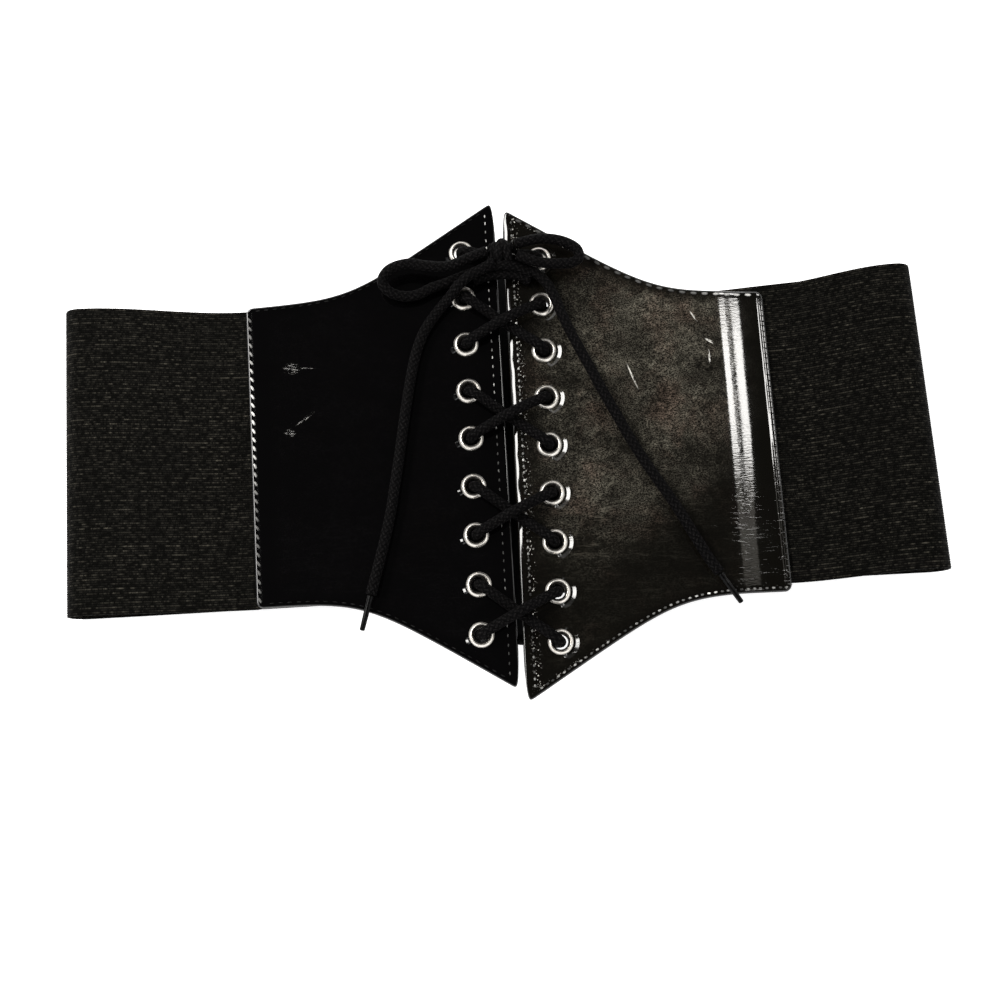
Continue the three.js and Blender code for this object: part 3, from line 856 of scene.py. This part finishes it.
knotTurns = [  # place across the knot, half size along the belt's height and upwards, slant in degrees
    (-0.9, 4.3, 2.7, 16), (2.1, 3.6, 2.4, -12), (-3.4, 3.0, 1.6, 20),
]
knotStrands = [  # places from the knot's middle
    [(-5.2, -2.6, -1.4), (-2.6, -1.5, -0.4), (0, -0.2, 0.4), (2.6, 1.2, 0.9), (5.2, 2.4, 1.2)],
    [(-5.2, 2.2, 1.0), (-2.6, 1.4, 0.2), (0, 0.2, -0.6), (2.6, -1.4, -1.2), (5.2, -2.6, -1.6)],
    [(-10.5, -6.6, -1.6), (-6.0, -5.6, 0.4), (0, -5.4, 1.2), (6.0, -6.2, 0.2), (11.5, -8.8, -2.6)],
    [(-11.5, -9.6, -3.4), (-6.5, -8.4, -1.9), (0, -8.3, -1.2), (6.5, -8.8, -2.1), (11.0, -11.2, -3.6)],
]


def knotTurn(across, along, up, slant):
    route = []
    for i in range(knot["turnSteps"]):
        angle = 2 * math.pi * i / knot["turnSteps"]
        y = math.cos(angle) * along
        x = across + y * math.tan(math.radians(slant))
        route.append(knotMiddle + Vector((x, y, math.sin(angle) * up)))
    return tube(route, knot["widen"], closed=True)


knotTubes = [knotTurn(*row) for row in knotTurns]
knotTubes += [tube(smoothRoute([knotMiddle + Vector(p) for p in points])) for points in knotStrands]
lacePiece("bowKnot", knotTubes, "lace_knot")
print("laced stretch and knot made")


# Panels: a grid for each face, drawn together round the edges, then bored for the eyelets

shell = {
    "edgeStep": 0.14,  # the grid's steps: at the edges, across and up the middle, and by the eyelets
    "acrossStep": 1.5, "upStep": 0.9, "fineStep": 0.6,
    "fineReach": 9.0,  # how far past the eyelets the steps stay fine
    "growth": 1.17,
    "round": 0.9,  # radius of the folded edges
    # the right panel's upright edges slope down evenly: degrees, and over which distance
    "ramps": {"front": (19.5, 2.5), "outer": (6.4, 2.9)},
    "rampSoftness": 0.22,
    "rampUneven": (0.3, 0.13),  # by which share, and how fast along the edge
    "frontFade": (-78.0, -30.0),  # the front ramp is gone below the first height, and full over the second
    "groove": 0.08,  # the stitching's groove
    "grooveWidth": 0.45, "drillDepth": 8.0,
}


def stations(length, middleStep, fineEnd=0.0):
    ends = []
    at, step = 0.0, shell["edgeStep"]
    while step < middleStep:
        ends.append(at)
        at += step
        step *= shell["growth"]
    far = length - at
    places = list(ends)
    while at < far - middleStep / 2:
        places.append(at)
        at += shell["fineStep"] if at < fineEnd else middleStep
    return places + [far] + [length - end for end in reversed(ends)]


def outlineSlope(side, distance):
    reach = 0.05
    return (outlineHalf(side, distance + reach) - outlineHalf(side, distance)) / reach


def edgeFacts(side, distance, height):
    # how far a point is from the nearest edge, and the stitching's distance there
    over = (outlineHalf(side, distance) - abs(height)) / math.hypot(1, outlineSlope(side, distance))
    found = [
        (distance, stitching["front"]),
        (side["width"] - distance, stitching["outer"]),
        (over, stitching["slanted"]),
    ]
    return min(found, key=lambda fact: fact[0] / fact[1])


def stepDown(side, distance, height):
    # the right panel lies flat, steps down over the elastic's end and rolls down at its outer edge
    share = ease((height - shoulder["low"]) / (shoulder["high"] - shoulder["low"]))
    centre, slope = blend(*shoulder["centre"], share), blend(*shoulder["slope"], share)
    before, past = shoulder["widths"]
    width = before if distance < centre else past
    steep = math.sqrt(math.pi) / 2 * math.tan(math.radians(slope))
    fall = steep * (before + width * math.erf((distance - centre) / width))
    return fall + (leather["outerDrop"] - steep * (before + past)) * (distance / side["width"]) ** 2


def ramp(away, slope, reach, height):
    # an even slope towards an edge, a little uneven along it
    share, speed = shell["rampUneven"]
    slope *= 1 + share * noise.noise(Vector((height * speed, slope, 0)))
    softness = shell["rampSoftness"]
    return math.tan(math.radians(slope)) * softness * math.log(1 + math.exp((reach - away) / softness))


def relief(side, distance, height):
    # how much higher the leather lies than a plain panel's
    edge, row = edgeFacts(side, distance, height)
    away = {
        "front": distance,
        "outer": side["width"] - distance,
        "slanted": outlineHalf(side, distance) - abs(height),
    }
    rise = leather["frontHeight"] - underside(side, distance)[0]
    rise -= shell["groove"] * hump(edge - row, shell["grooveWidth"])
    for kind, (sink, reach) in side["rolls"].items():
        rise -= sink * hump(max(away[kind], 0), reach)
    if side["sign"] < 0:
        return rise - leather["outerDrop"] * (distance / side["width"]) ** 2
    begin, end = shell["frontFade"]
    rise -= stepDown(side, distance, height)
    rise -= ramp(away["front"], *shell["ramps"]["front"], height) * ease((height - begin) / (end - begin))
    return rise - ramp(away["outer"], *shell["ramps"]["outer"], height)


def drill(side):
    radius = (eyelets["bore"] + eyelets["wall"] + eyelets["holeGap"]) * mm
    drills = []
    for row in range(eyelets["rows"]):
        place = inFrame(panelPoint(side, *eyeletPlace(side, row), leather["thickness"] / 2))
        deselect()
        bpy.ops.mesh.primitive_cylinder_add(
            vertices=32, radius=radius, depth=shell["drillDepth"] * mm, location=place)
        drills.append(bpy.context.object)
    together = joined(drills)
    bpy.ops.object.transform_apply(location=True, rotation=True, scale=True)
    return together


def panelPiece(name, side):
    across = stations(side["width"], shell["acrossStep"], side["eyeletInset"] + shell["fineReach"])
    up = stations(2 * side["frontHalf"], shell["upStep"])

    def settle(column, row, inner):
        distance = across[column]
        height = outlineHalf(side, distance) * (up[row] / side["frontHalf"] - 1)
        edge, stitched = edgeFacts(side, distance, height)
        inward = min(max(edge, 0.0), shell["round"])
        lift = math.sqrt(max(shell["round"] ** 2 - (shell["round"] - inward) ** 2, 0))
        level = leather["thickness"] / 2 + (-lift if inner else lift) + relief(side, distance, height)
        uvs = {"hem": (edge / stitched, 0), "lay": (distance, height)}
        return panelPoint(side, distance, height, level), uvs

    piece = walledPiece(len(across) - 1, len(up) - 1, settle)
    cut(piece, drill(side))
    dress(piece, "leatherPanel." + name, patent[name], 50)
    return finish(piece, "patent_leather", "panel_" + name)


for name, side in sides.items():
    panelPiece(name, side)
print("panels made")


# Eyelets: one turned ring, copied into every place

def eyeletRing():
    bore, rim, gap = eyelets["bore"], eyelets["rim"], eyelets["gap"]
    barrel, washer = bore + eyelets["wall"], eyelets["washer"]
    top, bottom = leather["thickness"] + gap, -gap - eyelets["washerThickness"]
    profile = [(barrel, -gap), (washer, -gap), (washer, bottom), (bore, bottom)]
    for share, height in eyelets["crown"]:
        profile.append((blend(rim, bore, share), top + eyelets["rise"] * height))
    inside, down = eyelets["underRim"]
    profile += [(rim - inside, top - down), (barrel, top - down)]
    deselect()
    bpy.ops.mesh.primitive_circle_add(vertices=len(profile), radius=1)
    ring = bpy.context.object
    for vertex, (radius, height) in zip(ring.data.vertices, profile):
        vertex.co = (radius * mm, 0, height * mm)
    turn = ring.modifiers.new("turn", "SCREW")
    turn.axis = "Z"
    turn.steps = eyelets["turns"]
    turn.render_steps = eyelets["turns"]
    turn.use_merge_vertices = True
    turn.merge_threshold = weldReach
    bpy.ops.object.modifier_apply(modifier=turn.name)
    weld(ring)
    dress(ring, "eyeletRing", nickel, 45)
    return ring


ring = eyeletRing()
for name, side in sides.items():
    for row in range(eyelets["rows"]):
        one = ring.copy()
        one.data = ring.data.copy()
        one.name = f"eyeletRing.{name}.{row + 1}"
        bpy.context.scene.collection.objects.link(one)
        place = Matrix.Translation(inFrame(eyeletBase(side, row)))
        one.data.transform(place @ Matrix.Rotation(draw.uniform(0, 6), 4, "Z"))
        finish(one, "eyelet_metal", f"eyelet_{name}_{row + 1}")
bpy.data.objects.remove(ring)
print("eyelets set")


# Elastic bands: a finely ribbed grid for each face, from under the panel round the fold to the back strip

elastic = {
    "thickness": 1.6, "overlap": 14.0, "foldRadius": 7.0, "gap": 0.3, "gatherHalf": 61.8,
    "half": 64.0,
    "tuckedHalf": 57.0,  # at its end under the panel
    "backHalf": 61.0,  # where it lies behind the panel, and how much higher it lies there
    "backLift": 1.4, "ribs": 136, "ribSteps": 4, "ribDepth": 0.3,
}
closure = {
    "width": 40.0, "half": 77.0,
    "shift": -1.85,  # how much lower its middle lies than the elastics'
    "wall": 1.2, "slotDepth": 16.0, "clearance": 0.3, "ramp": 14.0,
    "spare": 2.0,  # how far the slots' cutters stand out
    "rounding": 0.45,
}
bandEnds = [s["frontX"] + s["sign"] * (s["width"] + 2 * s["wing"]) for s in sides.values()]
closure["x"] = sum(bandEnds) / 2
closure["y"] = sum(s["seamY"] for s in sides.values()) / 2


def bandPath(side):
    # its outer face seen from the end, and how the band lies at each place: middle, half width and lean
    sign, radius = side["sign"], elastic["foldRadius"]
    outerX = side["frontX"] + sign * side["width"]
    foldX = outerX + sign * (side["wing"] - radius)
    mouthX = closure["x"] + sign * closure["width"] / 2
    landX = mouthX + sign * closure["ramp"]
    endX = mouthX - sign * (closure["slotDepth"] - closure["clearance"] * 2)
    slot = closure["wall"] + closure["clearance"]
    tucked = side["seamY"], elastic["tuckedHalf"], side["outerLean"]
    seam = side["seamY"], elastic["gatherHalf"], side["outerLean"]
    fold = side["foldY"], elastic["half"], side["foldLean"]
    back = closure["y"] + elastic["backLift"], elastic["backHalf"], 0

    def under(share):
        distance = side["width"] - elastic["overlap"] * (1 - share)
        return side["frontX"] + sign * distance, underside(side, distance)[0] - elastic["gap"]

    def wing(share):
        return blend(outerX, foldX, share), blend(under(1)[1], radius * 2, math.sin(share * math.pi / 2))

    def bend(share):
        c, s = direction(90 - 180 * share)
        return foldX + sign * radius * c, radius * (1 + s)

    stretches = [  # steps, how the band lies before and after, and its route
        (6, tucked, seam, under),
        (18, seam, fold, wing),
        (14, fold, fold, bend),
        (22, fold, back, lambda share: (blend(foldX, landX, share), 0)),
        (6, back, back, lambda share: (blend(landX, mouthX, share), slot * ease(share))),
        (1, back, back, lambda share: (endX, slot)),
    ]
    path = [under(0) + tucked]
    for steps, first, last, place in stretches:
        for i in range(1, steps + 1):
            lie = [blend(a, b, ease(i / steps)) for a, b in zip(first, last)]
            path.append((*place(i / steps), *lie))
    return path


def bandPiece(name, side):
    path = bandPath(side)
    runs = [0.0]
    for a, b in zip(path, path[1:]):
        runs.append(runs[-1] + math.hypot(b[0] - a[0], b[1] - a[1]))
    last, rows, thickness = len(path) - 1, elastic["ribs"] * elastic["ribSteps"], elastic["thickness"]

    def settle(column, row, inner):
        x, z, middle, half, lean = path[column]
        before, after = path[max(column - 1, 0)], path[min(column + 1, last)]
        along = Vector((after[0] - before[0], 0, after[1] - before[1])).normalized()
        inward = Vector((along.z, 0, -along.x)) * side["sign"]
        rib = row / elastic["ribSteps"]
        valley = elastic["ribDepth"] * (1 - abs(math.cos(math.pi * rib)))
        depth = thickness - valley if inner else valley
        if column in (0, last) or row in (0, rows):
            depth = thickness / 2
        height = (2 * row / rows - 1) * half
        place = Vector((x - height * math.tan(math.radians(lean)), middle + height, z))
        return place + inward * depth, {"lay": (runs[column], rib + 0.5)}

    piece = walledPiece(last, rows, settle)
    dress(piece, "elasticBand." + name, elasticWeave)
    finish(piece, "ribbed_elastic", "elastic_" + name)
    print("elastic", name, "is", round(runs[-1]), "mm long")


for name, side in sides.items():
    bandPiece(name, side)
print("elastics made")


# Back strip: the two walls that hold the elastics' ends, and the web between them

def block(x, y, z, size):
    deselect()
    bpy.ops.mesh.primitive_cube_add(size=1, location=inFrame(Vector((x, y, z))))
    piece = bpy.context.object
    piece.scale = Vector(size) * mm
    bpy.ops.object.transform_apply(location=True, rotation=True, scale=True)
    return piece


def stripPiece():
    width, length, spare = closure["width"], 2 * closure["half"], closure["spare"]
    slot = elastic["thickness"] + 2 * closure["clearance"]
    high = slot + 2 * closure["wall"]
    x, y, z = closure["x"], closure["y"] + closure["shift"], high / 2
    piece = block(x, y, z, (width, length, high))
    depth = closure["slotDepth"] + spare
    for sign in (-1, 1):
        out = width / 2 + spare - depth / 2
        cut(piece, block(x + sign * out, y, z, (depth, length + 2 * spare, slot)))
    bevel(piece, closure["rounding"] * mm, 30)
    dress(piece, "backStrip", dullBlack, 35)
    return finish(piece, "patent_leather", "back_closure")


stripPiece()
print("back strip made")


# Stitches: one short bead of thread, laid along every row

def stitchBead():
    deselect()
    bpy.ops.mesh.primitive_uv_sphere_add(segments=6, ring_count=4, radius=0.5)
    return bpy.context.object


def stitchRows(name, side):
    # each row's edge, and its places (distance, height) close together
    steps, ends = stitching["steps"], stitching["ends"]
    inset, outer = stitching["front"], side["width"] - stitching["outerRow"][name]
    rows = []
    for edge, distance, short in (("front", inset, ends["front"]), ("outer", outer, stitching["slanted"])):
        half = outlineHalf(side, distance) - short
        rows.append((edge, [(distance, -half + i * 2 * half / steps[edge]) for i in range(steps[edge] + 1)]))
    for edge, sign in (("bottom", -1), ("top", 1)):
        row = []
        for i in range(steps["slanted"] + 1):
            distance = blend(inset + ends["inner"], outer - ends["outer"], i / steps["slanted"])
            inside = stitching["slanted"] * math.hypot(1, outlineSlope(side, distance))
            row.append((distance, sign * (outlineHalf(side, distance) - inside)))
        rows.append((edge, row))
    return rows


def stitchPiece(name, side, bead):
    points, faces, glints = [], [], []
    corners = [v.co.copy() for v in bead.data.vertices]
    shapes = [tuple(p.vertices) for p in bead.data.polygons]
    for edge, row in stitchRows(name, side):
        look = dict(zip(stitching["columns"], stitching[name][edge]))
        thick, long = look["size"]
        brightest, reach, least = look["bright"]
        places = []
        for distance, height in row:
            top = leather["thickness"] + relief(side, distance, height) + thick * stitching["proud"]
            places.append(panelPoint(side, distance, height, top))
        run, due = 0.0, look["pitch"] / 2
        for (distance, height), a, b in zip(row, places, places[1:]):
            run += (b - a).length
            if run < due:
                continue
            due += look["pitch"]
            lie = Matrix.Translation(a) @ (b - a).to_track_quat("Z", "X").to_matrix().to_4x4()
            upright = lie.to_3x3().inverted() @ Vector((0, 0, 1))
            slant = look["slant"] + draw.uniform(-stitching["wobble"], stitching["wobble"])
            lie = lie @ Matrix.Rotation(math.radians(slant), 4, upright)
            lie = lie @ Matrix.Diagonal((thick, thick, long, 1))
            first = len(points)
            points += [lie @ corner for corner in corners]
            faces += [tuple(first + v for v in shape) for shape in shapes]
            glint = blend(*look["glint"], draw.random() ** stitching["favour"])
            glint *= max(hump((distance if edge in ("top", "bottom") else height) - brightest, reach), least)
            glints += [(glint, abs(corner.z) * 2) for corner in corners]
    piece = meshPiece("stitching." + name, points, faces, thread)
    uvLayer(piece, "glint", [glints[loop.vertex_index] for loop in piece.data.loops])
    return finish(piece, "patent_leather")


bead = stitchBead()
for name, side in sides.items():
    stitchPiece(name, side, bead)
bpy.data.objects.remove(bead)
print("stitches sewn")


# Studio: a pale floor that is lit from below as well, light all round the horizon, and three lamps

studio = {
    "floor": (0.86, 0.86, 0.86, 1),
    "floorSize": 14.0,  # in m
    "floorDrop": 0.0002,
    "floorGlow": 0.7,  # so that no shadow shows
    "horizon": 1.75,  # brightness of the surroundings near the horizon and overhead
    "overhead": 0.03,
    "fade": (0.5, 0.8),  # sine of the height where the bright part starts to fade, and where it ends
}
lamps = {  # over the elastic's end and low on it, where the right panel mirrors them; and over the edges
    "strip": {"at": (0.87, 0.43, 1.27), "size": (0.19, 0.26), "power": 3.8, "tint": (1.0, 0.98, 0.95)},
    "stripEnd": {"at": (0.86, 0.2, 1.27), "size": (0.15, 0.2), "power": 0.1, "tint": (1.0, 0.95, 0.85)},
    "edgeLight": {"at": (-0.88, 0.42, 1.07), "size": (0.25, 1.1), "power": 21.7, "tint": (1.0, 0.98, 0.95)},
}


def lampTurn(place):
    # towards the belt, with the lamp's height along the belt's
    back = Vector(place).normalized()
    side = Vector((0, 1, 0)).cross(back).normalized()
    return Matrix((side, back.cross(side), back)).transposed().to_euler()


def setStudio():
    scene = bpy.context.scene
    scene.view_settings.view_transform = "Standard"
    scene.view_settings.look = "None"
    deselect()
    bpy.ops.mesh.primitive_plane_add(size=studio["floorSize"], location=(0, 0, -studio["floorDrop"]))
    floor = bpy.context.object
    floor.name = "floor"
    floor.data.materials.append(newMaterial("palePaper", {
        "Base Color": studio["floor"],
        "Roughness": 0.9,
        "Specular IOR Level": 0.1,
        "Emission Color": (1, 1, 1, 1),
        "Emission Strength": studio["floorGlow"],
    }))
    world = bpy.data.worlds.new("studio")
    scene.world = world
    world.use_nodes = True
    shade = Shade(world.node_tree)
    height = shade.node("ShaderNodeTexCoord", {}, {}, 0).axis(2)
    light = height.between(*studio["fade"], studio["horizon"], studio["overhead"])
    background = world.node_tree.nodes["Background"]
    world.node_tree.links.new(light.socket, background.inputs["Strength"])
    background.inputs["Color"].default_value = (1, 1, 1, 1)
    for name, look in lamps.items():
        bpy.ops.object.light_add(type="AREA", location=look["at"])
        lamp = bpy.context.object
        lamp.name = name
        lamp.data.shape = "RECTANGLE"
        lamp.data.size, lamp.data.size_y = look["size"]
        lamp.data.energy = look["power"]
        lamp.data.color = look["tint"]
        lamp.rotation_euler = lampTurn(look["at"])


setStudio()
print("studio set")
